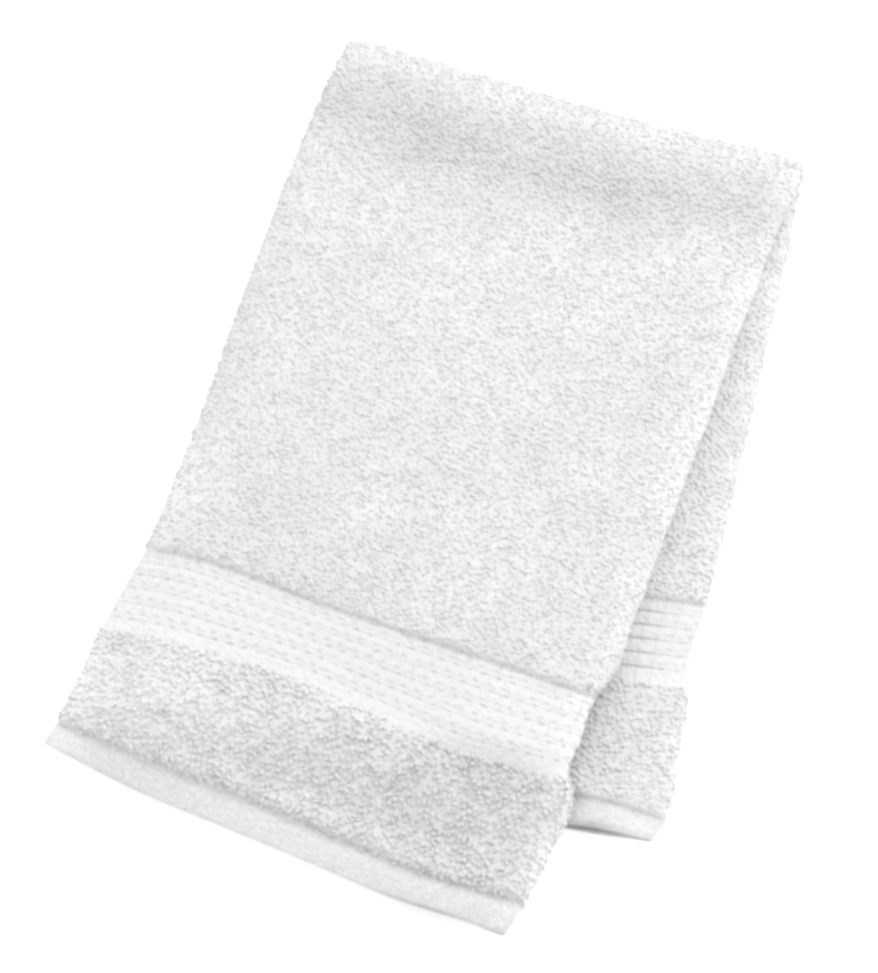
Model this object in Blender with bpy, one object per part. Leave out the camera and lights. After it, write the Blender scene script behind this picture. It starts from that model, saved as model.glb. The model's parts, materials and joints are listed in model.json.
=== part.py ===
"""White terry hand towel: one cloth, folded in half along its length, then across near the middle, and laid flat.

The long fold runs down the right side and the two selvedges lie together on the left. The crosswise fold is at the
back (+Y) and parallel to X, a little out of square with the cloth, so the upper half lies turned on the lower half:
the lower half's right side shows beside it. The upper half is also the longer one, and its left edge and its end hang
over the lower half down to the floor.

The cloth is a sheet of stations along its length and columns across its width. The columns run from the upper
selvedge over the long fold to the other selvedge. Tables are in millimetres, the model in metres, and +Z is up.
"""

from collections import namedtuple

import bpy
import numpy as np

MM = 0.001

# Cloth along its length, counted from the end of a hem. Thickness is one layer's. Spread is the distance from the
# middle of a folded pair to the middle of each of its two layers.
Cloth = namedtuple("Cloth", "distance thickness spread")
CLOTH = (
    Cloth(0.0, 2.5, 1.75),
    Cloth(14.6, 2.6, 1.80),
    Cloth(16.4, 4.3, 2.60),
    Cloth(19.5, 4.7, 2.75),
    Cloth(69.5, 4.7, 2.75),
    Cloth(72.2, 4.4, 2.65),
    Cloth(73.6, 2.6, 2.25),
    Cloth(94.0, 2.6, 2.15),
    Cloth(114.8, 2.6, 2.25),
    Cloth(116.2, 4.4, 2.65),
    Cloth(119.5, 4.7, 2.75),
    Cloth(420.0, 4.7, 2.75),
)

# Flat ribs of the woven band, parted by grooves across the cloth.
GROOVES = 5
FIRST_GROOVE = 82.0
GROOVE_PITCH = 6.9
GROOVE_WIDTH = 2.7
GROOVE_DEPTH = 0.4

# Lines across each half, from the hem's end to the crosswise fold. Left and right are the X of the pair's sides. The
# other columns are distances from the crosswise fold to the line, at fifths of the way from left to right.
Line = namedtuple("Line", "cloth left right at_0 at_20 at_40 at_60 at_80 at_100")
UPPER_HALF = (
    Line(0.0, -133.4, 96.0, 394.0, 402.0, 406.2, 410.4, 414.6, 413.8),
    Line(15.6, -130.2, 100.2, 381.6, 386.6, 389.4, 393.8, 398.0, 397.0),
    Line(40.0, -128.0, 104.6, 360.5, 364.0, 366.0, 370.5, 374.5, 372.0),
    Line(68.0, -127.0, 105.6, 337.8, 337.8, 338.2, 344.0, 347.8, 344.0),
    Line(74.4, -126.6, 101.8, 332.6, 332.4, 332.0, 337.6, 342.0, 338.4),
    Line(94.0, -124.2, 101.6, 311.0, 311.4, 312.2, 316.0, 318.8, 318.6),
    Line(114.6, -120.6, 102.2, 290.7, 291.0, 294.3, 295.8, 297.0, 298.3),
    Line(124.0, -119.4, 106.0, 281.6, 282.0, 285.0, 286.6, 287.8, 289.0),
    Line(160.0, -118.2, 108.4, 246.6, 247.4, 249.6, 251.2, 252.8, 254.0),
    Line(250.0, -119.4, 111.8, 157.0, 158.4, 159.8, 161.2, 162.6, 164.0),
    Line(340.0, -119.8, 114.6, 68.0, 68.6, 69.2, 69.8, 70.4, 71.0),
    Line(380.0, -118.4, 117.2, 27.5, 27.6, 28.3, 28.3, 27.4, 26.6),
    Line(398.0, -116.6, 118.8, 8.8, 8.9, 9.8, 9.8, 7.6, 5.8),
)
LOWER_HALF = (
    Line(0.0, -84.0, 146.3, 371.0, 367.5, 363.6, 360.2, 357.2, 350.6),
    Line(15.6, -82.0, 149.4, 357.5, 353.5, 349.5, 345.8, 342.2, 339.2),
    Line(45.0, -84.5, 146.0, 328.0, 324.5, 320.5, 317.0, 313.0, 307.0),
    Line(68.0, -87.5, 142.2, 304.0, 301.0, 297.5, 294.5, 290.5, 282.0),
    Line(74.4, -88.5, 139.9, 297.4, 294.4, 291.4, 288.2, 284.0, 275.2),
    Line(94.0, -91.5, 137.2, 277.0, 274.0, 271.0, 268.0, 264.0, 255.0),
    Line(114.6, -92.5, 137.8, 256.0, 253.0, 250.0, 247.0, 243.0, 234.4),
    Line(124.0, -93.5, 137.0, 246.4, 243.6, 240.8, 238.0, 234.4, 226.4),
    Line(160.0, -96.6, 134.8, 210.0, 208.0, 205.6, 203.2, 200.4, 194.0),
    Line(250.0, -104.8, 128.4, 117.6, 116.4, 115.0, 113.4, 111.6, 108.4),
    Line(320.0, -112.6, 122.4, 43.5, 43.1, 42.5, 41.9, 40.7, 38.3),
    Line(351.0, -116.6, 118.8, 8.8, 8.9, 9.8, 9.8, 7.6, 5.8),
)
FRACTIONS = (0.0, 0.2, 0.4, 0.6, 0.8, 1.0)

# Places where the top layer of a half lifts or sinks. Side is the distance from the pair's right side, and reach is
# how far the place spreads each way across and along the cloth. A negative rise is a soft trough.
Swell = namedtuple("Swell", "upper cloth side along across rise")
SWELLS = (
    Swell(True, 398.0, 117.0, 26.0, 500.0, 0.7),
    Swell(True, 345.0, 100.0, 42.0, 190.0, -0.9),
    Swell(True, 262.0, 150.0, 60.0, 110.0, 0.6),
    Swell(True, 175.0, 60.0, 50.0, 80.0, -0.6),
    Swell(True, 140.0, 170.0, 34.0, 70.0, 0.5),
    Swell(True, 58.0, 78.0, 26.0, 60.0, 1.2),
    Swell(True, 0.0, 34.0, 24.0, 30.0, 1.9),
    Swell(False, 0.0, 27.0, 44.0, 26.0, 5.8),
    Swell(False, 200.0, 12.0, 70.0, 50.0, -0.5),
)

# How far the bottom layer's hem stays behind the top layer's, the distance from the long fold that this takes, and the
# length of cloth that makes it up.
HEM_SETBACK_UPPER = 2.0
HEM_SETBACK_LOWER = -0.4
SETBACK_REACH = 24.0
SETBACK_LENGTH = 40.0

# Crosswise fold: gap between the halves, steps round the turn, and the rounding of its two corners, which is full at
# the first of two distances from the fold's line and gone at the second.
HALF_GAP = 0.8
TURN_STEPS = 7
CORNER_CUT = 3.0
CORNER_REACH = 9.0
CORNER_FULL_AT = 8.6
CORNER_GONE_AT = 40.0

# The upper half keeps its height to this distance outside the lower half's left edge, and is down on the floor at the
# other one. At the lower half's hem both count from the hem's end, the first inward.
LEFT_FALL_FROM = -2.0
LEFT_FALL_TO = -44.0
END_FALL_FROM = 22.0
END_FALL_TO = -34.0

# Columns across one layer, from the selvedge, with the last one at the start of the long fold.
COLUMNS = (0.0, 5.0, 12.0, 21.0, 31.0, 42.0, 56.0, 80.0, 112.0, 146.0, 176.0, 202.0)
LONG_FOLD_STEPS = 6
LAYER_INSET = 1.4
SELVEDGE_BULGE = 0.18

# Stations along the cloth outside the band's grooves, from the hem's end. The last ones are counted back from the
# crosswise fold, and any gap over the longest pitch before them is halved.
PLAIN_STATIONS = (0.0, 8.0, 14.6, 16.4, 19.5, 32.0, 46.0, 59.0, 69.5, 72.2, 73.6)
LAST_PLAIN_STATIONS = (114.8, 116.2, 119.5, 140.0, 170.0, 205.0, 245.0, 285.0)
STATIONS_BEFORE_FOLD = (26.0, 11.0, 0.0)
SHORTEST_PITCH = 12.0
LONGEST_PITCH = 45.0

CLOTH_COLOUR = (0.905, 0.900, 0.890, 1.0)
CLOTH_ROUGHNESS = 0.95


def clear_scene():
    for obj in list(bpy.data.objects):
        bpy.data.objects.remove(obj, do_unlink=True)


def curve_through(x, xs, ys):
    """Value at x of a smooth curve through the points xs, ys."""
    xs, ys = np.asarray(xs, float), np.asarray(ys, float)
    slopes = np.gradient(ys, xs)
    i = np.clip(np.searchsorted(xs, x, side="right") - 1, 0, len(xs) - 2)
    step = xs[i + 1] - xs[i]
    t = np.clip((x - xs[i]) / step, 0.0, 1.0)
    start = (2 * t**3 - 3 * t**2 + 1) * ys[i] + (t**3 - 2 * t**2 + t) * step * slopes[i]
    end = (3 * t**2 - 2 * t**3) * ys[i + 1] + (t**3 - t**2) * step * slopes[i + 1]
    return start + end


def ease(value, zero, one):
    """0 at zero, 1 at one, and a smooth slope between."""
    t = np.clip((value - zero) / (one - zero), 0.0, 1.0)
    return t * t * (3.0 - 2.0 * t)


def table_at(table, column, distance):
    return float(np.interp(distance, [row[0] for row in table], [getattr(row, column) for row in table]))


def groove_at(distance):
    """Depth that the band's grooves take from each face at this distance along the cloth."""
    centres = FIRST_GROOVE + GROOVE_PITCH * np.arange(GROOVES)
    nearest = np.min(np.abs(centres - distance))
    return GROOVE_DEPTH * (1.0 - float(ease(nearest, 0.25 * GROOVE_WIDTH, 0.5 * GROOVE_WIDTH)))


def station_distances(fold_distance):
    """Distances along the cloth of all stations of one half, from the hem's end to the crosswise fold."""
    grooves = [
        FIRST_GROOVE + GROOVE_PITCH * i + side * 0.5 * GROOVE_WIDTH for i in range(GROOVES) for side in (-1, 0, 1)
    ]
    near_fold = [fold_distance - before for before in STATIONS_BEFORE_FOLD]
    last = [d for d in LAST_PLAIN_STATIONS if d < near_fold[0] - SHORTEST_PITCH]
    if near_fold[0] - last[-1] > LONGEST_PITCH:
        last.append(0.5 * (last[-1] + near_fold[0]))
    return [*PLAIN_STATIONS, *grooves, *last, *near_fold]


def section(distance):
    """Outer face, inner face and selvedges of the pair's section, and its outer radius at the long fold.

    A point is (share, across, height): it lies across from the point at that share of the way from left to right.
    Height is 0 under the second layer and the full height of the pair on top of the first.
    """
    thickness = table_at(CLOTH, "thickness", distance)
    spread = table_at(CLOTH, "spread", distance)
    groove = groove_at(distance)
    outer_radius = spread + 0.5 * thickness
    faces = []
    for radius in (outer_radius - groove, spread - 0.5 * thickness + groove):
        points = [(0.0, a, radius) for a in COLUMNS]
        for angle in np.linspace(0.0, np.pi, LONG_FOLD_STEPS + 1):
            points.append((1.0, -outer_radius + radius * np.sin(angle), radius * np.cos(angle)))
        points += [(0.0, max(a, LAYER_INSET), -radius) for a in reversed(COLUMNS)]
        faces.append([(share, across, outer_radius + height) for share, across, height in points])
    bulge = SELVEDGE_BULGE * thickness
    rims = [(0.0, -bulge, outer_radius + spread), (0.0, LAYER_INSET - bulge, outer_radius - spread)]
    return faces[0], faces[1], rims, outer_radius


def swell_at(upper, distance, from_right):
    """How much the top layer of a half is lifted at this place."""
    total = 0.0
    for swell in SWELLS:
        if swell.upper == upper:
            along = 1.0 - ease(abs(distance - swell.cloth), 0.0, swell.along)
            across = 1.0 - ease(abs(from_right - swell.side), 0.0, swell.across)
            total += swell.rise * along * across
    return total


def pair_height():
    """Height of a folded pair of full terry layers."""
    return 2.0 * CLOTH[-1].spread + CLOTH[-1].thickness


def support_at(x, back):
    """Height of the floor or of the lower half under the upper half, at X and at this distance from the fold."""
    hem, fold = LOWER_HALF[0], LOWER_HALF[-1]
    side = np.array((hem.left - fold.left, hem.at_0 - fold.at_0))
    side /= np.linalg.norm(side)
    inside_left = (x - fold.left) * side[1] - (back - fold.at_0) * side[0]
    end = np.array((hem.right - hem.left, hem.at_100 - hem.at_0))
    end /= np.linalg.norm(end)
    inside_end = (hem.at_0 - back) * end[0] + (x - hem.left) * end[1]
    full = pair_height() + HALF_GAP
    return full * ease(inside_left, LEFT_FALL_TO, LEFT_FALL_FROM) * ease(inside_end, END_FALL_TO, END_FALL_FROM)


def half_point(upper, distance, point, outer_radius):
    """X, distance from the crosswise fold and height of a point of one half's section."""
    share_across, across, height = point
    column = list(zip(*(UPPER_HALF if upper else LOWER_HALF)))
    left, right = (curve_through(distance, column[0], column[i]) for i in (1, 2))
    full_height = 2.0 * outer_radius
    x = left + share_across * (right - left) + across
    from_right = right - x
    fraction = np.clip((x - left) / (right - left), 0.0, 1.0)
    back = curve_through(fraction, FRACTIONS, [curve_through(distance, column[0], c) for c in column[3:]])
    top_share = height / full_height if upper else 1.0 - height / full_height
    setback = HEM_SETBACK_UPPER if upper else HEM_SETBACK_LOWER
    at_hem = 1.0 - ease(distance, 0.0, SETBACK_LENGTH)
    back -= setback * at_hem * (1.0 - top_share) * ease(from_right, 0.0, SETBACK_REACH)
    at_fold = ease(back, CORNER_GONE_AT, CORNER_FULL_AT)
    corner = max(0.0, 1.0 - min(from_right, x - left) / CORNER_REACH)
    back += CORNER_CUT * corner**2 * at_fold
    rise = swell_at(upper, distance, from_right) * top_share
    level = support_at(x, back) + height if upper else full_height - height
    return x, back, level + rise


def turn_point(start, end, height, angle):
    """Point round the crosswise fold, between the two halves' last points start and end."""
    centre = pair_height() + 0.5 * HALF_GAP
    radius = 0.5 * HALF_GAP + height + (start[2] - centre - 0.5 * HALF_GAP - height) * 0.5 * (1.0 + np.cos(angle))
    share = angle / np.pi
    x = start[0] + (end[0] - start[0]) * share
    back = start[1] + (end[1] - start[1]) * share - radius * np.sin(angle)
    return x, back, centre + radius * np.cos(angle)


def towel_grids():
    """Outer face, inner face and the two selvedge rows of the cloth, each with a row per station."""
    upper_stations = station_distances(UPPER_HALF[-1].cloth)
    lower_stations = station_distances(LOWER_HALF[-1].cloth)
    outer, inner, rims = [], [], []

    def add(place, distance):
        *rows, radius = section(distance)
        for grid, row in zip((outer, inner, rims), rows):
            grid.append([place(point, radius) for point in row])

    for distance in upper_stations:
        add(lambda point, radius, d=distance: half_point(True, d, point, radius), distance)
    for angle in np.linspace(0.0, np.pi, TURN_STEPS + 1)[1:-1]:

        def place(point, radius, angle=angle):
            start = half_point(True, upper_stations[-1], point, radius)
            end = half_point(False, lower_stations[-1], point, radius)
            return turn_point(start, end, point[2], angle)

        add(place, upper_stations[-1])
    for distance in reversed(lower_stations):
        add(lambda point, radius, d=distance: half_point(False, d, point, radius), distance)
    return np.array(outer), np.array(inner), np.array(rims)


def closed_sheet(outer, inner, rims):
    """Points and faces of the closed cloth between its two faces."""
    rows, columns = outer.shape[:2]
    points = np.concatenate([outer.reshape(-1, 3), inner.reshape(-1, 3), rims.reshape(-1, 3)])
    inner_start, rim_start = rows * columns, 2 * rows * columns

    def out(i, j):
        return i * columns + j

    def into(i, j):
        return inner_start + i * columns + j

    def rim(i, side):
        return rim_start + 2 * i + side

    faces = []
    for i in range(rows - 1):
        for j in range(columns - 1):
            faces.append((out(i, j), out(i, j + 1), out(i + 1, j + 1), out(i + 1, j)))
            faces.append((into(i, j), into(i + 1, j), into(i + 1, j + 1), into(i, j + 1)))
        last = columns - 1
        faces.append((rim(i, 0), out(i, 0), out(i + 1, 0), rim(i + 1, 0)))
        faces.append((into(i, 0), rim(i, 0), rim(i + 1, 0), into(i + 1, 0)))
        faces.append((out(i, last), rim(i, 1), rim(i + 1, 1), out(i + 1, last)))
        faces.append((rim(i, 1), into(i, last), into(i + 1, last), rim(i + 1, 1)))
    for j in range(columns - 1):
        faces.append((out(0, j + 1), out(0, j), into(0, j), into(0, j + 1)))
        end = rows - 1
        faces.append((out(end, j), out(end, j + 1), into(end, j + 1), into(end, j)))
    for i, step in ((0, 1), (rows - 1, -1)):
        last = columns - 1
        faces.append((rim(i, 0), into(i, 0), out(i, 0))[::step])
        faces.append((rim(i, 1), out(i, last), into(i, last))[::step])
    return points, faces


def to_row_frame(points):
    """Metres, with the outline's middle at X = Y = 0 and the crosswise fold toward +Y."""
    placed = np.stack([points[:, 0], -points[:, 1], points[:, 2]], axis=1)
    middle = 0.5 * (placed.min(axis=0) + placed.max(axis=0))
    placed[:, :2] -= middle[:2]
    placed[:, 2] -= placed[:, 2].min()
    return placed * MM


def terry_material():
    material = bpy.data.materials.new("white_cotton_terry")
    material.use_nodes = True
    shader = material.node_tree.nodes["Principled BSDF"]
    shader.inputs["Base Color"].default_value = CLOTH_COLOUR
    shader.inputs["Roughness"].default_value = CLOTH_ROUGHNESS
    material.diffuse_color = CLOTH_COLOUR
    return material


def build_towel():
    points, faces = closed_sheet(*towel_grids())
    mesh = bpy.data.meshes.new("towel")
    mesh.from_pydata(to_row_frame(points).tolist(), [], faces)
    mesh.polygons.foreach_set("use_smooth", [True] * len(mesh.polygons))
    mesh.materials.append(terry_material())
    mesh.update()
    towel = bpy.data.objects.new("towel", mesh)
    bpy.context.scene.collection.objects.link(towel)


clear_scene()
build_towel()
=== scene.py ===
"""Looks of the folded white terry hand towel: its cloth, the loops of its pile, and the stage it is shown on."""

import json
import math
from collections import namedtuple

import bpy
import numpy as np
from mathutils import Matrix, Vector

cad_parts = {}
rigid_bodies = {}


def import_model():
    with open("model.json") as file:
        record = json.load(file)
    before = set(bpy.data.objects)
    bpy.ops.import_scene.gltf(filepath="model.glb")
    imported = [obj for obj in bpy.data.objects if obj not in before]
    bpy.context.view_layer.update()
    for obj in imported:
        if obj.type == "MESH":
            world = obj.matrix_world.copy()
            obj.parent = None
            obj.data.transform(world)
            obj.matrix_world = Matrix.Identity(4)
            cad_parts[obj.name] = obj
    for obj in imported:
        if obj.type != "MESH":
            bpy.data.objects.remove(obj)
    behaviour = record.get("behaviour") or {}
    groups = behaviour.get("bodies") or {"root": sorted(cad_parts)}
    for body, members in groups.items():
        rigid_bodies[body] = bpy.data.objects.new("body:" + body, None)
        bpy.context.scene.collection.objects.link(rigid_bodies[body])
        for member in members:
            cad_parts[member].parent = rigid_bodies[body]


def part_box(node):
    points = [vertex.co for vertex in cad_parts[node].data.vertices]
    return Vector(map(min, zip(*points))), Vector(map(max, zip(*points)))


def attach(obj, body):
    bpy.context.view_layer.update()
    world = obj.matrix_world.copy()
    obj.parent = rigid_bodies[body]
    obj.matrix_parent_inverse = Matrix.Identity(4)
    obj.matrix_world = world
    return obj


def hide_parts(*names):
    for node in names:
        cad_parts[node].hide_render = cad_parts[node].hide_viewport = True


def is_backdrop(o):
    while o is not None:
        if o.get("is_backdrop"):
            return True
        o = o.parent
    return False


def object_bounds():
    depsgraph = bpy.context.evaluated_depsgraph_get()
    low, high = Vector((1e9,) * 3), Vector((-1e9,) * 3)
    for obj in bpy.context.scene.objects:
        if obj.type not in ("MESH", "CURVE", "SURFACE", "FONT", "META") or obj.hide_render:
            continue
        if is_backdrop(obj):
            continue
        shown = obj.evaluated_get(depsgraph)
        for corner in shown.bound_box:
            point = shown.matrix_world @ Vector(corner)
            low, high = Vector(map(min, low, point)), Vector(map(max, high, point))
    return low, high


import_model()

bl_info = {
    "name": "Folded Terry Towel",
    "version": (1, 0, 0),
    "blender": (4, 5, 0),
    "location": "3D View > Sidebar > Towel",
    "description": "Makes a folded white terry hand towel with its looped pile, and a plain stage",
    "category": "Add Mesh",
}

MM = 0.001
CAD_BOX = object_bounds()

# Cloth along its length, from the end of a hem, in millimetres. Thickness is one layer's with its pile, and spread is
# from the middle of the folded pair to the middle of a layer.
Cloth = namedtuple("Cloth", "distance thickness spread")
CLOTH = (
    Cloth(0, 1.5, 1.75),
    Cloth(0.8, 2.2, 1.75),
    Cloth(2, 2.5, 1.75),
    Cloth(15, 2.6, 1.80),
    Cloth(15.9, 4.3, 2.60),
    Cloth(18.5, 4.7, 2.75),
    Cloth(69.5, 4.7, 2.75),
    Cloth(72.2, 4.4, 2.65),
    Cloth(73.6, 2.6, 2.25),
    Cloth(94, 2.6, 2.15),
    Cloth(115, 2.6, 2.25),
    Cloth(116, 4.4, 2.65),
    Cloth(118.5, 4.7, 2.75),
    Cloth(420, 4.7, 2.75),
)
# Height of a folded pair of full terry layers.
PAIR_HEIGHT = 2.0 * CLOTH[-1].spread + CLOTH[-1].thickness

HEM_END = 15.4
BAND_START = 73.0
BAND_END = 115.4

# Ribs of the woven band, parted by grooves across the cloth, and the repeat of its weave across.
GROOVES = 5
FIRST_GROOVE = 82.0
GROOVE_PITCH = 6.9
GROOVE_WIDTH = 2.7
GROOVE_DEPTH = 0.4
REPEAT = 7.0

# Lines across each half, from the hem's end to the crosswise fold. Left and right are the X of the pair's sides. The
# other columns are distances from the crosswise fold to the line, at fifths of the way from left to right.
Line = namedtuple("Line", "cloth left right at_0 at_20 at_40 at_60 at_80 at_100")
UPPER_HALF = (
    Line(0, -133.4, 96, 394, 402, 406.2, 410.4, 414.6, 413.8),
    Line(15.6, -130.2, 100.2, 381.6, 386.6, 389.4, 393.8, 398, 397),
    Line(40, -128, 104.6, 360.5, 364, 366, 370.5, 374.5, 372),
    Line(68, -127, 105.6, 337.8, 337.8, 338.2, 344, 347.8, 344),
    Line(74.4, -126.6, 101.8, 332.6, 332.4, 332, 337.6, 342, 338.4),
    Line(94, -124.2, 101.6, 311, 311.4, 312.2, 316, 318.8, 318.6),
    Line(114.6, -120.6, 102.2, 290.7, 291, 294.3, 295.8, 297, 298.3),
    Line(124, -119.4, 106, 281.6, 282, 285, 286.6, 287.8, 289),
    Line(160, -118.2, 108.4, 246.6, 247.4, 249.6, 251.2, 252.8, 254),
    Line(250, -119.4, 111.8, 157, 158.4, 159.8, 161.2, 162.6, 164),
    Line(340, -119.8, 114.6, 68, 68.6, 69.2, 69.8, 70.4, 71),
    Line(380, -118.4, 117.2, 27.5, 27.6, 28.3, 28.3, 27.4, 26.6),
    Line(398, -116.6, 118.8, 8.8, 8.9, 9.8, 9.8, 7.6, 5.8),
)
LOWER_HALF = (
    Line(0, -84, 146.3, 371, 367.5, 363.6, 360.2, 357.2, 350.6),
    Line(15.6, -82, 149.4, 357.5, 353.5, 349.5, 345.8, 342.2, 339.2),
    Line(45, -84.5, 146, 328, 324.5, 320.5, 317, 313, 307),
    Line(68, -87.5, 142.2, 304, 301, 297.5, 294.5, 290.5, 282),
    Line(74.4, -88.5, 139.9, 297.4, 294.4, 291.4, 288.2, 284, 275.2),
    Line(94, -91.5, 137.2, 277, 274, 271, 268, 264, 255),
    Line(114.6, -92.5, 137.8, 256, 253, 250, 247, 243, 234.4),
    Line(124, -93.5, 137, 246.4, 243.6, 240.8, 238, 234.4, 226.4),
    Line(160, -96.6, 134.8, 210, 208, 205.6, 203.2, 200.4, 194),
    Line(250, -104.8, 128.4, 117.6, 116.4, 115, 113.4, 111.6, 108.4),
    Line(320, -112.6, 122.4, 43.5, 43.1, 42.5, 41.9, 40.7, 38.3),
    Line(351, -116.6, 118.8, 8.8, 8.9, 9.8, 9.8, 7.6, 5.8),
)
FRACTIONS = (0.0, 0.2, 0.4, 0.6, 0.8, 1.0)

# Places where the top layer of the upper half (True) or the lower half (False) lifts or sinks. Each row holds the
# place's middle, as distances along the cloth and from the pair's right side, how far it reaches along and across,
# and its height.
SWELLS = {
    True: (
        (398, 117, 26, 500, 0.7),
        (345, 100, 42, 190, -0.9),
        (262, 150, 60, 110, 0.6),
        (175, 60, 50, 80, -0.6),
        (140, 170, 34, 70, 0.5),
        (58, 78, 26, 60, 1.2),
        (0, 34, 24, 30, 1.9),
        (230, 0, 480, 26, -1.1),
    ),
    False: (
        (0, 27, 44, 26, 5.8),
        (200, 12, 70, 50, -0.5),
        (200, 0, 420, 28, -1.4),
    ),
}

# Places where shade or light is painted into the colour: painted shade (above zero) darkens it, as below the crosswise
# fold, in the open hem and on the lower half's strip beside the upper half, and painted light (below zero) brightens
# it, as on the rims of the folds and on the hem beside the pile's edge. Rows are as above, with the painted shade at
# their end.
PAINTED_LIGHT_AND_SHADE = {
    True: (
        (404, 117, 15, 500, -0.12),
        (369, 117, 30, 500, 0.14),
        (350, 60, 34, 80, 0.02),
        (346, 170, 32, 90, 0.05),
        (352, 26, 40, 50, -0.05),
        (150, 228, 60, 30, -0.10),
        (6, 229, 26, 30, -0.12),
        (11, 120, 5, 500, -0.08),
        (15.2, 120, 2.4, 500, -0.06),
        (20, 110, 9, 100, -0.08),
        (115.2, 120, 2.2, 500, -0.06),
        (128, 150, 44, 80, 0.02),
        (120, 75, 26, 40, 0.03),
        (78, 28, 10, 50, 0.09),
        (70, 115, 8, 60, -0.08),
        (0, 38, 2.4, 34, 0.3),
        (86, 170, 22, 60, 0.03),
        (92, 90, 26, 70, 0.05),
        (70, 44, 20, 44, 0.11),
        (52, 210, 44, 80, -0.095),
        (42, 120, 30, 500, -0.035),
        (36, 62, 34, 95, 0.06),
        (30, 140, 24, 60, 0.03),
        (0, 120, 14, 70, -0.04),
        (270, 150, 110, 90, -0.012),
        (230, 0, 420, 17, -0.10),
        (36, 0, 36, 14, -0.09),
        (250, 240, 400, 12, -0.08),
        (44, 240, 34, 16, -0.10),
    ),
    False: (
        (250, 0, 400, 16, -0.06),
        (58, 56, 60, 40, 0.25),
        (4, 66, 16, 34, 0.2),
        (4, 8, 22, 26, -0.14),
        (15.2, 40, 2.4, 80, -0.06),
        (95, 0, 28, 34, 0.06),
        (42, 0, 34, 12, -0.05),
        (0, 30, 4.5, 26, 0.22),
    ),
}

# Ruffled and smooth patches of the pile. Cells are their sizes across and along the cloth in millimetres, and shades
# are how strong they are on the wide terry and on the strip between the hem and the band.
Mottle = namedtuple("Mottle", "across along wide strip seed")
MOTTLES = (
    Mottle(26, 11, 0.02, 0.01, 11),
    Mottle(9, 6, 0.012, 0.015, 12),
    Mottle(4.2, 3.4, 0.04, 0.055, 13),
)

# The cloth's inner faces, where the hem stands open, get little light, so this much painted shade is put into their
# colour.
INSIDE_SHADE = 0.36

# At the hem, one layer is drawn back by this much except at the long fold, and the halves lie a little apart.
HEM_SETBACK_UPPER = 2.0
HEM_SETBACK_LOWER = -0.4
SETBACK_REACH = 24.0
SETBACK_LENGTH = 40.0
HALF_GAP = 0.8

# The crosswise fold's corners are cut off by this much, from nothing to all of it over a span near the fold.
CORNER_CUT = 2.2
CORNER_REACH = 9.0
CORNER_SPAN = (40.0, 8.6)

# The upper half falls to the floor past the lower half's left side and hem, between these distances inside them.
LEFT_FALL = (-44.0, -2.0)
END_FALL = (-34.0, 22.0)

# The under layer's selvedge stands back by the inset, and each selvedge is rounded by this share of its thickness.
LAYER_INSET = 1.4
SELVEDGE_BULGE = 0.22
SELVEDGE_HEIGHT = 0.8

# The ground cloth lies this far inside the pile's tips, and its fine unevenness has these heights and cells.
PILE_INSET = 0.75
LUMP_HEIGHT, LUMP_CELL, LUMP_SEED = 0.30, 9.0, 3
PUFF_HEIGHT, PUFF_CELL, PUFF_SEED = 0.16, 4.6, 5

# Across the flat cloth, a layer's columns lie between its selvedge and the arc of the long fold, a little closer
# together at the selvedge.
FLAT_ACROSS = 457.0
LAYER_REACH = 219.0
COLUMN_GROWTH = 1.05
ARC_START, ARC_LENGTH = 224.0, 9.0
ARC_STEPS = 10
RIM_ANGLES = np.radians((-55.0, 0.0, 55.0))
RIM_POINTS = len(RIM_ANGLES)

# The turn of the crosswise fold takes this length of cloth and is drawn in this many rows.
TURN_LENGTH = 17.0
TURN_ROWS = 13

# Stations along the cloth, closer together at the edges of the pile.
HEM_STATIONS = (0.0, 0.4, 0.9, 1.8, 4.0, 7.0, 10.0, 13.0, 14.4, 14.9, 15.3, 15.6, 16.0, 17.0, 18.5)
BAND_NEAR_EDGE = (70.0, 71.2, 72.2, 72.9, 73.6)
BAND_FAR_EDGE = (114.4, 115.0, 115.5, 116.0, 117.2, 119.5)
STRIP_FIRST, STRIP_LAST = 22.0, 69.0
BAND_FIRST, BAND_LAST = 74.4, 114.6
MAIN_FIRST = 123.0

# The loops on the lower half's strip start this far under the upper half's side.
STRIP_UNDER = 11.0


class ClothSettings(bpy.types.PropertyGroup):
    """Sizes of the cloth before it was folded, and how finely it is drawn."""

    flat_width: bpy.props.FloatProperty(
        name="Width", description="Width of the towel laid open", default=0.457, unit="LENGTH"
    )
    flat_length: bpy.props.FloatProperty(
        name="Length", description="Length of the towel laid open", default=0.762, unit="LENGTH"
    )
    terry_step: bpy.props.FloatProperty(
        name="Terry step", description="Distance between stations in the terry", default=4.0, min=1.0
    )
    band_step: bpy.props.FloatProperty(
        name="Band step", description="Distance between stations in the woven band", default=0.75, min=0.3
    )
    columns: bpy.props.IntProperty(name="Columns", description="Columns across one layer", default=54, min=12)


class PileSettings(bpy.types.PropertyGroup):
    """Size and spacing of the terry loops."""

    spacing: bpy.props.FloatProperty(
        name="Spacing", description="Least distance between two loops", default=0.00180, unit="LENGTH"
    )
    loop_length: bpy.props.FloatProperty(
        name="Loop length", description="Length that a loop covers on the cloth", default=0.0017, unit="LENGTH"
    )
    loop_height: bpy.props.FloatProperty(
        name="Loop height", description="Height of a loop over the ground cloth", default=0.00028, unit="LENGTH"
    )
    yarn: bpy.props.FloatProperty(
        name="Yarn", description="Thickness of a loop's yarn", default=0.0014, unit="LENGTH"
    )
    seed: bpy.props.IntProperty(name="Seed", description="Seed of the loops' places", default=7)


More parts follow.
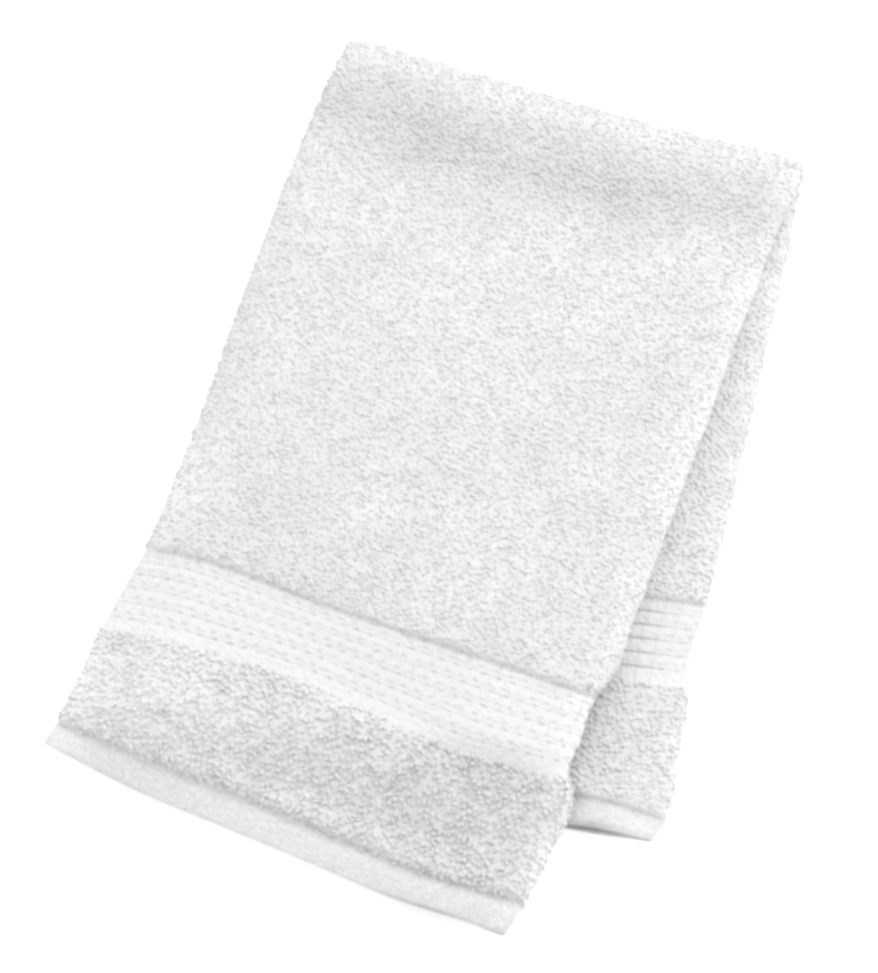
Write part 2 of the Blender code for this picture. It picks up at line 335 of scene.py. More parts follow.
class StageSettings(bpy.types.PropertyGroup):
    """Camera, light and floor."""

    elevation: bpy.props.FloatProperty(
        name="Elevation", description="Camera's height above the floor", default=math.radians(66.44), subtype="ANGLE"
    )
    azimuth: bpy.props.FloatProperty(
        name="Azimuth", description="Camera's turn about the towel", default=math.radians(18.16), subtype="ANGLE"
    )
    distance: bpy.props.FloatProperty(
        name="Distance", description="Camera's distance from the towel", default=1.6, unit="LENGTH"
    )
    lens: bpy.props.FloatProperty(name="Lens", description="Focal length in millimetres", default=125.0)
    floor_size: bpy.props.FloatProperty(
        name="Floor size", description="Length of the floor's side", default=6.0, unit="LENGTH"
    )


def curve_through(x, xs, ys):
    """Value at x of a smooth curve through the points xs, ys."""
    xs, ys = np.asarray(xs, float), np.asarray(ys, float)
    slopes = np.gradient(ys, xs)
    i = np.clip(np.searchsorted(xs, x, side="right") - 1, 0, len(xs) - 2)
    step = xs[i + 1] - xs[i]
    t = np.clip((x - xs[i]) / step, 0.0, 1.0)
    start = (2 * t**3 - 3 * t**2 + 1) * ys[i] + (t**3 - 2 * t**2 + t) * step * slopes[i]
    end = (3 * t**2 - 2 * t**3) * ys[i + 1] + (t**3 - t**2) * step * slopes[i + 1]
    return start + end


def ease(value, zero, one):
    """0 at zero, 1 at one, and a smooth slope between."""
    t = np.clip((value - zero) / (one - zero), 0.0, 1.0)
    return t * t * (3.0 - 2.0 * t)


def cloth_at(column, distance):
    """One column of the cloth's table at this distance along it."""
    return float(np.interp(distance, [row.distance for row in CLOTH], [getattr(row, column) for row in CLOTH]))


# Points on a side of the noise's lattice, and the cells that it starts before the cloth's edge.
LATTICE = 256
LATTICE_MARGIN = 40.0


def soft_noise(u, v, across, along, seed):
    """Smooth random values from -1 to 1 over the cloth, with patches of about these sizes across and along it."""
    lattice = np.random.default_rng(seed).uniform(-1.0, 1.0, (LATTICE + 1, LATTICE + 1))
    x, y = np.asarray(u) / across + LATTICE_MARGIN, np.asarray(v) / along + LATTICE_MARGIN
    i, j = np.floor(x).astype(int), np.floor(y).astype(int)
    s, t = ease(x - i, 0.0, 1.0), ease(y - j, 0.0, 1.0)
    i, j = i % LATTICE, j % LATTICE
    near = lattice[i, j] * (1 - s) + lattice[i + 1, j] * s
    far = lattice[i, j + 1] * (1 - s) + lattice[i + 1, j + 1] * s
    return near * (1 - t) + far * t


def groove_at(distance):
    """Depth that the band's grooves take from each face at this distance along the cloth."""
    centres = FIRST_GROOVE + GROOVE_PITCH * np.arange(GROOVES)
    nearest = np.min(np.abs(centres - distance))
    return GROOVE_DEPTH * (1.0 - float(ease(nearest, 0.2 * GROOVE_WIDTH, 0.55 * GROOVE_WIDTH)))


def terry_share(distance):
    """1 where the cloth has pile, 0 in the hem and the woven band."""
    hem = ease(distance, HEM_END - 0.4, HEM_END + 1.2)
    band = ease(distance, BAND_START - 2.2, BAND_START + 0.4) * ease(distance, BAND_END + 1.2, BAND_END - 0.4)
    return float(hem * (1.0 - band))


def add_places(total, places, distance, from_right):
    """Adds what each place gives here, all of it at the place's middle and nothing beyond its reach."""
    for middle, side, along, across, strength in places:
        share = 1.0 - ease(abs(distance - middle), 0.0, along)
        total = total + strength * share * (1.0 - ease(np.abs(from_right - side), 0.0, across))
    return total


def painted_shade_and_mottle_at(upper, distance, ring, x):
    """Painted shade and light round one ring, whose points have this X, with the pile's random mottles added."""
    total = add_places(INSIDE_SHADE * ring.inside, PAINTED_LIGHT_AND_SHADE[upper], distance, x.max() - x)
    wide = ease(distance, BAND_START, BAND_END)
    for mottle in MOTTLES:
        shade = (mottle.strip + (mottle.wide - mottle.strip) * wide) * terry_share(distance)
        total += shade * soft_noise(ring.u, distance, mottle.across, mottle.along, mottle.seed + (not upper))
    return total


def support_at(x, back):
    """Height of the floor or of the lower half under the upper half, at X and at this distance from the fold."""
    hem, fold = LOWER_HALF[0], LOWER_HALF[-1]
    side = np.array((hem.left - fold.left, hem.at_0 - fold.at_0))
    side /= np.linalg.norm(side)
    inside_left = (x - fold.left) * side[1] - (back - fold.at_0) * side[0]
    end = np.array((hem.right - hem.left, hem.at_100 - hem.at_0))
    end /= np.linalg.norm(end)
    inside_end = (hem.at_0 - back) * end[0] + (x - hem.left) * end[1]
    full = PAIR_HEIGHT + HALF_GAP
    return full * ease(inside_left, *LEFT_FALL) * ease(inside_end, *END_FALL)


def place_in_half(upper, distance, ring):
    """Points of one half's section as rows of X, distance from the crosswise fold, and height."""
    column = list(zip(*(UPPER_HALF if upper else LOWER_HALF)))
    left, right = (curve_through(distance, column[0], column[i]) for i in (1, 2))
    full_height = 2.0 * ring.outer_radius
    x = left + ring.share * (right - left) + ring.across
    from_right = right - x
    fraction = np.clip((x - left) / (right - left), 0.0, 1.0)
    back = curve_through(fraction, FRACTIONS, [curve_through(distance, column[0], c) for c in column[3:]])
    top_share = ring.height / full_height if upper else 1.0 - ring.height / full_height
    setback = HEM_SETBACK_UPPER if upper else HEM_SETBACK_LOWER
    at_hem = 1.0 - ease(distance, 0.0, SETBACK_LENGTH)
    back = back - setback * at_hem * (1.0 - top_share) * ease(from_right, 0.0, SETBACK_REACH)
    corner = np.maximum(0.0, 1.0 - np.minimum(from_right, x - left) / CORNER_REACH)
    back = back + CORNER_CUT * corner**2 * ease(back, *CORNER_SPAN)
    rise = add_places(np.zeros_like(x), SWELLS[upper], distance, from_right) * top_share
    level = support_at(x, back) + ring.height if upper else full_height - ring.height
    return np.stack([x, back, level + rise], axis=-1)


def place_in_turn(upper_rows, lower_rows, height, angle):
    """Points round the crosswise fold, between the two halves' last rows."""
    centre = PAIR_HEIGHT + 0.5 * HALF_GAP
    puff = (upper_rows[:, 2] - centre - 0.5 * HALF_GAP - height) * 0.5 * (1.0 + math.cos(angle))
    radius = 0.5 * HALF_GAP + height + puff
    share = angle / math.pi
    rows = upper_rows + (lower_rows - upper_rows) * share
    rows[:, 1] -= radius * math.sin(angle)
    rows[:, 2] = centre + radius * math.cos(angle)
    return rows


Ring = namedtuple("Ring", "share across height u outer_radius inside")


def ring_at(distance, columns, lower):
    """The pair's closed section, round the outer face, one selvedge, the inner face and the other selvedge.

    Share and across give the place from left to right, height the place in the pair, and u the place across the flat
    cloth. The lower half's floor side has no loops, so there the cloth is drawn at the pile's tips.
    """
    thickness, spread = cloth_at("thickness", distance), cloth_at("spread", distance)
    groove, pile = groove_at(distance), terry_share(distance)
    outer_radius = spread + 0.5 * thickness
    angles = np.linspace(0.0, math.pi, ARC_STEPS + 1)
    angle = np.concatenate([np.zeros(len(columns)), angles, np.full(len(columns), math.pi)])
    on_arc = np.concatenate([np.zeros(len(columns)), np.ones(ARC_STEPS + 1), np.zeros(len(columns))])
    plain = np.concatenate([columns, np.zeros(ARC_STEPS + 1), np.maximum(columns[::-1], LAYER_INSET)])
    arc_u = ARC_START + ARC_LENGTH * angles / math.pi
    u = np.concatenate([columns, arc_u, FLAT_ACROSS - columns[::-1]])
    lumps = LUMP_HEIGHT * soft_noise(u, distance, LUMP_CELL, LUMP_CELL, LUMP_SEED + lower)
    lumps += PUFF_HEIGHT * soft_noise(u, distance, PUFF_CELL, PUFF_CELL, PUFF_SEED + lower)
    floor_side = (1.0 + np.cos(angle)) * 0.5 if lower else np.zeros_like(angle)
    outer = outer_radius - groove + pile * (1.0 - floor_side) * (lumps - PILE_INSET)
    inner = np.full_like(outer, spread - 0.5 * thickness + groove)
    half = 0.5 * (thickness - pile * PILE_INSET)
    share, across, height = [], [], []
    for radius, order, inset, side in ((outer, 1, LAYER_INSET, -1.0), (inner, -1, 0.0, 1.0)):
        share += [on_arc[::order], np.zeros(RIM_POINTS)]
        across.append((plain + on_arc * (radius * np.sin(angle) - outer_radius))[::order])
        across.append(inset - SELVEDGE_BULGE * thickness * np.cos(RIM_ANGLES))
        height.append((outer_radius + radius * np.cos(angle))[::order])
        height.append(outer_radius + side * spread + half * np.sin(RIM_ANGLES) * SELVEDGE_HEIGHT)
    all_u = [u, np.full(RIM_POINTS, FLAT_ACROSS), u[::-1], np.zeros(RIM_POINTS)]
    inside = [np.zeros(len(u) + RIM_POINTS), np.ones(len(u)), np.zeros(RIM_POINTS)]
    share, across, height, all_u, inside = map(np.concatenate, (share, across, height, all_u, inside))
    return Ring(share, across, height, all_u, outer_radius, inside)


def station_distances(fold_distance, settings):
    """Distances along one half at which the cloth is drawn, closer together in the hem and the woven band."""
    strip = np.arange(STRIP_FIRST, STRIP_LAST, settings.terry_step)
    band = np.arange(BAND_FIRST, BAND_LAST, settings.band_step)
    main = np.linspace(MAIN_FIRST, fold_distance, int((fold_distance - MAIN_FIRST) / settings.terry_step) + 1)
    return np.concatenate([HEM_STATIONS, strip, BAND_NEAR_EDGE, band, BAND_FAR_EDGE, main])


def half_rows(upper, distances, columns):
    """Rows of one half, each as points, u, distance, half and painted shade with the pile's mottles."""
    for distance in distances:
        ring = ring_at(distance, columns, not upper)
        points = place_in_half(upper, distance, ring)
        yield points, ring.u, distance, int(not upper), painted_shade_and_mottle_at(upper, distance, ring, points[:, 0])


def turn_rows(upper_end, lower_end, columns):
    """Rows round the crosswise fold, between the halves' last ones."""
    ring = ring_at(upper_end, columns, False)
    start, end = place_in_half(True, upper_end, ring), place_in_half(False, lower_end, ring)
    for angle in np.linspace(0.0, math.pi, TURN_ROWS + 2)[1:-1]:
        points = place_in_turn(start, end, ring.height, angle)
        yield points, ring.u, upper_end + TURN_LENGTH * angle / math.pi, 2, np.zeros_like(ring.u)


def towel_rings(settings):
    """Rows of points round the cloth's section, from the upper half's hem over the crosswise fold to the lower one's.

    Returns the points, u and v in the flat cloth, each row's half (0 upper, 1 lower, 2 the turn), and the painted
    shade and light with the pile's random mottles.
    """
    columns = LAYER_REACH * np.linspace(0.0, 1.0, settings.columns) ** COLUMN_GROWTH
    upper, lower = (station_distances(lines[-1].cloth, settings) for lines in (UPPER_HALF, LOWER_HALF))
    rows = [*half_rows(True, upper, columns), *turn_rows(upper[-1], lower[-1], columns)]
    rows += half_rows(False, lower[::-1], columns)
    points, u, v, half, nap = (np.array(values) for values in zip(*rows))
    return to_row_frame(points), u, v, half, nap


def to_row_frame(points):
    """Metres in the row frame, with the CAD outline's middle at X = Y = 0."""
    low, high = (np.array(corner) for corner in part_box("towel"))
    placed = np.stack([points[..., 0], -points[..., 1], points[..., 2]], axis=-1) * MM
    # The long fold's rightmost point and the crosswise fold's farthest one are the same in the solid.
    right = max(line.right for line in LOWER_HALF) * MM
    front = -max(max(line[3:]) for line in UPPER_HALF) * MM
    placed[..., 0] += high[0] - right
    placed[..., 1] += low[1] - front
    return placed


def quad_at(i, j, around):
    """Points of the skin's face between rows i and i + 1, and columns j and j + 1."""
    k = (j + 1) % around
    return i * around + j, i * around + k, (i + 1) * around + k, (i + 1) * around + j


def ring_faces(rows, around):
    """Faces of the closed skin through all rings, and of the two hem ends."""
    i, j = np.meshgrid(np.arange(rows - 1), np.arange(around), indexing="ij")
    skin = np.stack(quad_at(i, j, around), axis=-1)
    across = around // 2 - RIM_POINTS
    caps = []
    for row, order in ((0, -1), (rows - 1, 1)):
        start = row * around
        outer = start + np.arange(across)
        last = start + around - RIM_POINTS - 1
        inner = last - np.arange(across)
        quads = np.stack([outer[:-1], outer[1:], inner[1:], inner[:-1]], axis=-1).tolist()
        rim_low = [start + across - 1 + k for k in range(RIM_POINTS + 2)]
        rim_high = [last + k for k in range(RIM_POINTS + 1)] + [start]
        caps += [face[::order] for face in [*quads, rim_low, rim_high]]
    return skin.reshape(-1, 4), caps


def srgb(code):
    """Linear colour of an sRGB hex code."""
    values = [int(code[k : k + 2], 16) / 255.0 for k in (1, 3, 5)]
    return tuple(c / 12.92 if c <= 0.04045 else ((c + 0.055) / 1.055) ** 2.4 for c in values) + (1.0,)


VECTOR_MATH = "ShaderNodeVectorMath"
MIX = "ShaderNodeMix"
NOISE = "ShaderNodeTexNoise"
MAP_RANGE = "ShaderNodeMapRange"
ATTRIBUTE = "ShaderNodeAttribute"
BUMP = "ShaderNodeBump"
RANDOM = "FunctionNodeRandomValue"
KEEP = "GeometryNodeStoreNamedAttribute"


def fill_inputs(tree, node, inputs):
    """Gives each of these inputs of the node, by name or in order, its value or links another node's output to it."""
    for name, value in inputs.items() if isinstance(inputs, dict) else enumerate(inputs):
        if isinstance(value, bpy.types.NodeSocket):
            tree.links.new(value, node.inputs[name])
        else:
            node.inputs[name].default_value = value


def add_node(tree, kind, inputs=(), **settings):
    """Adds a node with its settings and inputs, and returns its outputs. A kind in capitals is a Math operation."""
    if kind.isupper():
        kind, settings = "ShaderNodeMath", {"operation": kind}
    node = tree.nodes.new(kind)
    for name, value in settings.items():
        setattr(node, name, value)
    fill_inputs(tree, node, inputs)
    return node.outputs


def cotton_material(name, roughness, sheen):
    """A bare cotton material, its tree and the place on the object, with no pattern yet."""
    material = bpy.data.materials.new(name)
    material.use_nodes = True
    tree = material.node_tree
    matt = {"Roughness": roughness, "IOR": 1.5, "Specular IOR Level": 0.2, "Sheen Weight": sheen}
    fill_inputs(tree, tree.nodes["Principled BSDF"], matt | {"Sheen Roughness": 0.5})
    return material, tree, add_node(tree, "ShaderNodeTexCoord")["Object"]


def finish_cotton(tree, tone, colours, uneven, roughness, relief):
    """Gives a cotton its two colours by tone, darkened by painted shade and brightened by painted light, with the
    pile's random mottles, and its finish.
    """
    darker, lighter = (srgb(code) for code in colours)
    colour = add_node(tree, MIX, {0: tone, 6: darker, 7: lighter}, data_type="RGBA")[2]
    rough = add_node(tree, MAP_RANGE, {"Value": uneven, "To Min": roughness[0], "To Max": roughness[1]})[0]
    # Painted shade and light, stored with the pile's mottles, scale the colour.
    nap = add_node(tree, ATTRIBUTE, attribute_name="nap")["Fac"]
    share = add_node(tree, "SUBTRACT", (1.0, nap))[0]
    shaded = add_node(tree, VECTOR_MATH, {"Vector": colour, "Scale": share}, operation="SCALE")[0]
    fill_inputs(tree, tree.nodes["Principled BSDF"], {"Base Color": shaded, "Roughness": rough, "Normal": relief})


def cloth_axes(tree):
    """Millimetres across and along the flat cloth."""
    flat = add_node(tree, "ShaderNodeUVMap", uv_map="cloth_mm")[0]
    return add_node(tree, "ShaderNodeSeparateXYZ", (flat,))[:2]


def plain_weave(tree, u, v, warp, weft):
    """Threads that pass over and under each other, from -1 to 1, with warp and weft this far apart."""
    threads = []
    for place, spacing in ((v, weft), (u, warp)):
        angle = add_node(tree, "MULTIPLY", (place, 2.0 * math.pi / spacing))[0]
        threads.append(add_node(tree, "SINE", (angle,))[0])
    return add_node(tree, "MULTIPLY", threads)[0]


def terry_material():
    """Looped cotton terry: matt white yarn whose tips catch light and whose depths are a little darker."""
    material, tree, place = cotton_material("looped_cotton_terry", 0.95, 0.25)
    # Yarn about 1 mm thick, drawn as curls 1.6 mm apart, with single fibres 0.4 mm apart on them.
    curls = add_node(tree, NOISE, {"Vector": place, "Scale": 620.0, "Detail": 3.0, "Distortion": 1.4})["Fac"]
    fibres = add_node(tree, NOISE, {"Vector": place, "Scale": 2400.0, "Detail": 2.0})["Fac"]
    patches = add_node(tree, NOISE, {"Vector": place, "Scale": 38.0, "Detail": 3.0})["Fac"]
    shade = add_node(tree, MAP_RANGE, {"Value": patches, "From Min": 0.3, "From Max": 0.7})[0]
    fine = add_node(tree, BUMP, {"Height": fibres, "Strength": 0.5, "Distance": 0.0002})[0]
    relief = add_node(tree, BUMP, {"Height": curls, "Normal": fine, "Strength": 0.9, "Distance": 0.0011})[0]
    finish_cotton(tree, shade, ("#E8E8E8", "#F0F0F0"), curls, (0.88, 1.0), relief)
    return material


def loop_material():
    """Cotton loop yarn: soft twisted white yarn, each loop a slightly different white."""
    material, tree, place = cotton_material("cotton_loop_yarn", 0.92, 0.15)
    tone = add_node(tree, ATTRIBUTE, attribute_name="tone")["Fac"]
    # Loose fibres scatter light, so a loop shades partly like the cloth that it stands on.
    own = add_node(tree, "ShaderNodeNewGeometry")["Normal"]
    cloth = add_node(tree, ATTRIBUTE, attribute_name="cloth_normal")["Vector"]
    both = add_node(tree, VECTOR_MATH, (own, cloth), operation="ADD")[0]
    softened = add_node(tree, VECTOR_MATH, (both,), operation="NORMALIZE")[0]
    # Twist and loose fibre on yarn 1.4 mm thick, about 0.5 mm apart.
    twist = add_node(tree, NOISE, {"Vector": place, "Scale": 1900.0, "Detail": 2.0})["Fac"]
    relief = add_node(tree, BUMP, {"Height": twist, "Normal": softened, "Strength": 0.25, "Distance": 0.0003})[0]
    finish_cotton(tree, tone, ("#E2E2E2", "#EFEFEF"), twist, (0.85, 1.0), relief)
    return material


def thread_profile(tree, value, centre, reach):
    """1 where value is at centre, falling smoothly to 0 at reach on both sides."""
    offset = add_node(tree, "SUBTRACT", (value, centre))[0]
    away = add_node(tree, "ABSOLUTE", (offset,))[0]
    fall = {"Value": away, "From Max": reach, "To Min": 1.0, "To Max": 0.0}
    return add_node(tree, MAP_RANGE, fall, interpolation_type="SMOOTHSTEP")[0]


def band_material():
    """Dobby woven cotton band: flat ribs 7 mm wide, crossed by short floats, parted by rows of pinprick gaps."""
    material, tree, place = cotton_material("woven_cotton_band", 0.85, 0.15)
    u, v = cloth_axes(tree)
    lower = add_node(tree, ATTRIBUTE, attribute_name="lower_half")["Fac"]
    uneven = add_node(tree, NOISE, {"Vector": place, "Scale": 170.0, "Detail": 2.0})["Fac"]
    slubs = add_node(tree, NOISE, {"Vector": place, "Scale": 430.0, "Detail": 3.0})["Fac"]

    # Place within one pitch of the grooves, 6.9 mm, from -3.45 to 3.45 mm, and within one repeat across, 7 mm.
    from_start = add_node(tree, "SUBTRACT", (v, FIRST_GROOVE - 0.5 * GROOVE_PITCH))[0]
    pitch = add_node(tree, "FLOORED_MODULO", (from_start, GROOVE_PITCH))[0]
    pitch = add_node(tree, "SUBTRACT", (pitch, 0.5 * GROOVE_PITCH))[0]
    repeat = add_node(tree, "FLOORED_MODULO", (u, REPEAT))[0]
    later = add_node(tree, "ADD", (u, 0.3 * REPEAT))[0]
    later = add_node(tree, "FLOORED_MODULO", (later, REPEAT))[0]

    # The main row has gaps 2.7 mm long every 7 mm, joined by a faint thread line. On the lower half it is unbroken.
    main_row = add_node(tree, "MULTIPLY", (thread_profile(tree, repeat, 3.5, 3.2), uneven))[0]
    unbroken = add_node(tree, "MULTIPLY", (lower, 0.72))[0]
    along = thread_profile(tree, pitch, -1.1, 1.05)
    for operation, part in (("MAXIMUM", 0.2), ("MAXIMUM", unbroken), ("MULTIPLY", along), ("MULTIPLY", 1.5)):
        main_row = add_node(tree, operation, (main_row, part))[0]
    # The second row is fainter and a third of a repeat further on, on the upper half alone.
    upper = add_node(tree, "SUBTRACT", (1.0, lower))[0]
    next_row = thread_profile(tree, later, 3.5, 2.3)
    for part in (uneven, upper, thread_profile(tree, pitch, 1.6, 0.8), 0.8):
        next_row = add_node(tree, "MULTIPLY", (next_row, part))[0]
    rows = add_node(tree, "MAXIMUM", (main_row, next_row))[0]
    # No row lies in the plain margins, 6 to 7 mm wide, next to the pile.
    last = FIRST_GROOVE + GROOVE_PITCH * (GROOVES - 1) + 3.0
    for operation, edge in (("GREATER_THAN", FIRST_GROOVE - 2.4), ("LESS_THAN", last)):
        inside = add_node(tree, operation, (v, edge))[0]
        rows = add_node(tree, "MULTIPLY", (rows, inside))[0]

    # Bars of thicker warp every 7 mm, which show most on the lower half, and puffs of weft between the gaps.
    bars = add_node(tree, "MAXIMUM", (lower, 0.15))[0]
    bars = add_node(tree, "MULTIPLY", (bars, thread_profile(tree, repeat, 0.7, 0.9)))[0]
    puffs = thread_profile(tree, repeat, 1.2, 3.0)
    puffs = add_node(tree, "MULTIPLY", (puffs, thread_profile(tree, pitch, 3.1, 1.9)))[0]
    # Weft threads 0.8 mm and warp threads 0.95 mm apart, a little coarser than the real ones, so that they show.
    weave = plain_weave(tree, u, v, 0.95, 0.8)

    height = add_node(tree, "MULTIPLY", (slubs, 2.4))[0]
    for part, share in ((rows, -0.8), (weave, 0.13), (bars, -0.14), (puffs, 0.2)):
        height = add_node(tree, "MULTIPLY_ADD", (part, share, height))[0]
    relief = add_node(tree, BUMP, {"Height": height, "Strength": 1.0, "Distance": 0.0006})[0]
    # Painted shade darkens the colour in the rows of gaps and on the warp bars, and the slubs vary it at random.
    light = add_node(tree, "MULTIPLY_ADD", (slubs, -0.3, 1.15))[0]
    for part, share in ((rows, -0.95), (bars, -0.3)):
        light = add_node(tree, "MULTIPLY_ADD", (part, share, light))[0]
    finish_cotton(tree, light, ("#BCBCBC", "#F2F2F2"), slubs, (0.75, 0.95), relief)
    return material


def hem_material():
    """Plain woven hem: flat folded cotton with a fine weave and a soft fuzz."""
    material, tree, place = cotton_material("plain_woven_hem", 0.9, 0.2)
    # Threads 0.9 mm apart each way, and fuzz about 2 mm across.
    weave = plain_weave(tree, *cloth_axes(tree), 0.9, 0.9)
    fuzz = add_node(tree, NOISE, {"Vector": place, "Scale": 480.0, "Detail": 4.0})["Fac"]
    height = add_node(tree, "MULTIPLY", (fuzz, 1.3))[0]
    height = add_node(tree, "MULTIPLY_ADD", (weave, 0.1, height))[0]
    relief = add_node(tree, BUMP, {"Height": height, "Strength": 1.0, "Distance": 0.0007})[0]
    fibres = add_node(tree, NOISE, {"Vector": place, "Scale": 950.0, "Detail": 2.0})["Fac"]
    light = add_node(tree, "MULTIPLY_ADD", (fuzz, 0.9, -0.4))[0]
    light = add_node(tree, "MULTIPLY_ADD", (fibres, 0.8, light))[0]
    finish_cotton(tree, light, ("#CCCCCC", "#F8F8F8"), fuzz, (0.8, 1.0), relief)
    return material


def add_object(name, data, collection=None):
    """Adds an object with this data to the collection, or else to the scene."""
    obj = bpy.data.objects.new(name, data)
    (collection or bpy.context.scene.collection).objects.link(obj)
    return obj


def new_object(name, points, faces, smooth=True, collection=None):
    """Makes a mesh object."""
    mesh = bpy.data.meshes.new(name)
    mesh.from_pydata(points, [], faces)
    mesh.polygons.foreach_set("use_smooth", [smooth] * len(mesh.polygons))
    return add_object(name, mesh, collection)


def set_values(mesh, name, values):
    """Keeps one value for each point of the mesh."""
    mesh.attributes.new(name, "FLOAT", "POINT").data.foreach_set("value", values.astype(np.float32).reshape(-1))


def zone_of(distance):
    """Material slot of the cloth at this distance: 0 terry, 1 woven band, 2 hem."""
    if distance < HEM_END:
        return 2
    return 1 if BAND_START < distance < BAND_END else 0


class TOWEL_OT_cloth(bpy.types.Operator):
    """Makes the folded cloth, with its hems, woven bands and ground weave"""

    bl_idname = "towel.cloth"
    bl_label = "Make Cloth"

    def execute(self, context):
        settings = context.scene.towel_cloth
        points, u, v, half, nap = towel_rings(settings)
        rows, around = points.shape[:2]
        skin, caps = ring_faces(rows, around)
        cloth = new_object("towel_cloth", points.reshape(-1, 3).tolist(), skin.tolist() + caps)
        mesh = cloth.data
        for material in (terry_material(), band_material(), hem_material()):
            mesh.materials.append(material)
        middle = 0.5 * (v[:-1] + v[1:])
        zones = np.repeat([zone_of(d) for d in middle], around)
        mesh.polygons.foreach_set("material_index", [*zones.tolist(), *([2] * len(caps))])
        layer = mesh.uv_layers.new(name="cloth_mm")
        loop_vertex = np.empty(len(mesh.loops), int)
        mesh.loops.foreach_get("vertex_index", loop_vertex)
        flat = np.stack([u.reshape(-1), np.repeat(v, around)], axis=-1)
        layer.uv.foreach_set("vector", flat[loop_vertex].astype(np.float32).reshape(-1))
        # The lower half's unbroken grooves are stretched shallow toward the long fold, 219 to 238 mm across the cloth,
        # so there their relief and their painted shade are fainter.
        grooved = ease(np.abs(u - 0.5 * FLAT_ACROSS), 9.0, 24.0) * 0.7 + 0.3
        set_values(mesh, "lower_half", grooved * (half == 1)[:, None])
        # Painted shade and light, with the pile's random mottles, for the colours and the loops' height.
        set_values(mesh, "nap", nap)
        mesh.update()
        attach(cloth, "root")
        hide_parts("towel")
        return {"FINISHED"}


Loop = namedtuple("Loop", "lean sway rise curl")
LOOPS = (
    Loop(0.10, 0.90, 1.00, 0.45),
    Loop(-0.20, -0.70, 0.85, 0.80),
    Loop(0.30, 0.35, 0.80, -0.90),
    Loop(0.00, -1.10, 0.95, 0.20),
    Loop(-0.35, 0.60, 1.15, -0.50),
    Loop(0.20, 0.10, 0.70, 1.00),
)
LOOP_SEGMENTS = 5
LOOP_SIDES = 3

# A direction in which no loop's yarn runs.
OFF_LOOP = Vector((0.3, 0.2, 1.0))


def loop_shape(loop, settings):
    """Points and faces of a closed curl of yarn on both its ends, its middle arched, swayed and curled to one side."""
    length, height, radius = settings.loop_length, settings.loop_height, 0.5 * settings.yarn
    t = np.linspace(0.0, 1.0, LOOP_SEGMENTS + 1)
    arch = np.sin(math.pi * t)
    x = length * (0.5 * np.sin(math.pi * (t - 0.5)) * (1.0 - 0.35 * arch) + loop.lean * 0.4 * arch)
    y = length * (0.32 * loop.curl * np.sin(2.0 * math.pi * t) + 0.4 * loop.sway * arch)
    z = height * loop.rise * arch - 0.55 * radius * (1.0 - arch)
    path = np.stack([x, y, z], axis=-1)
    points, faces = [], []
    along = np.gradient(path, axis=0)
    for i, (middle, direction) in enumerate(zip(path, along)):
        direction = Vector(direction).normalized()
        side = direction.cross(OFF_LOOP).normalized()
        up = side.cross(direction)
        thick = radius * (0.5 + 0.5 * math.sqrt(max(0.0, arch[i])))
        for k in range(LOOP_SIDES):
            angle = 2.0 * math.pi * k / LOOP_SIDES - math.pi / 2.0
            points.append(Vector(middle) + thick * (math.cos(angle) * side + math.sin(angle) * up))
    for i in range(LOOP_SEGMENTS):
        for k in range(LOOP_SIDES):
            a, b = i * LOOP_SIDES + k, i * LOOP_SIDES + (k + 1) % LOOP_SIDES
            faces.append((a, a + LOOP_SIDES, b + LOOP_SIDES, b))
    faces.append(tuple(range(LOOP_SIDES)))
    faces.append(tuple(LOOP_SEGMENTS * LOOP_SIDES + k for k in reversed(range(LOOP_SIDES))))
    return points, faces


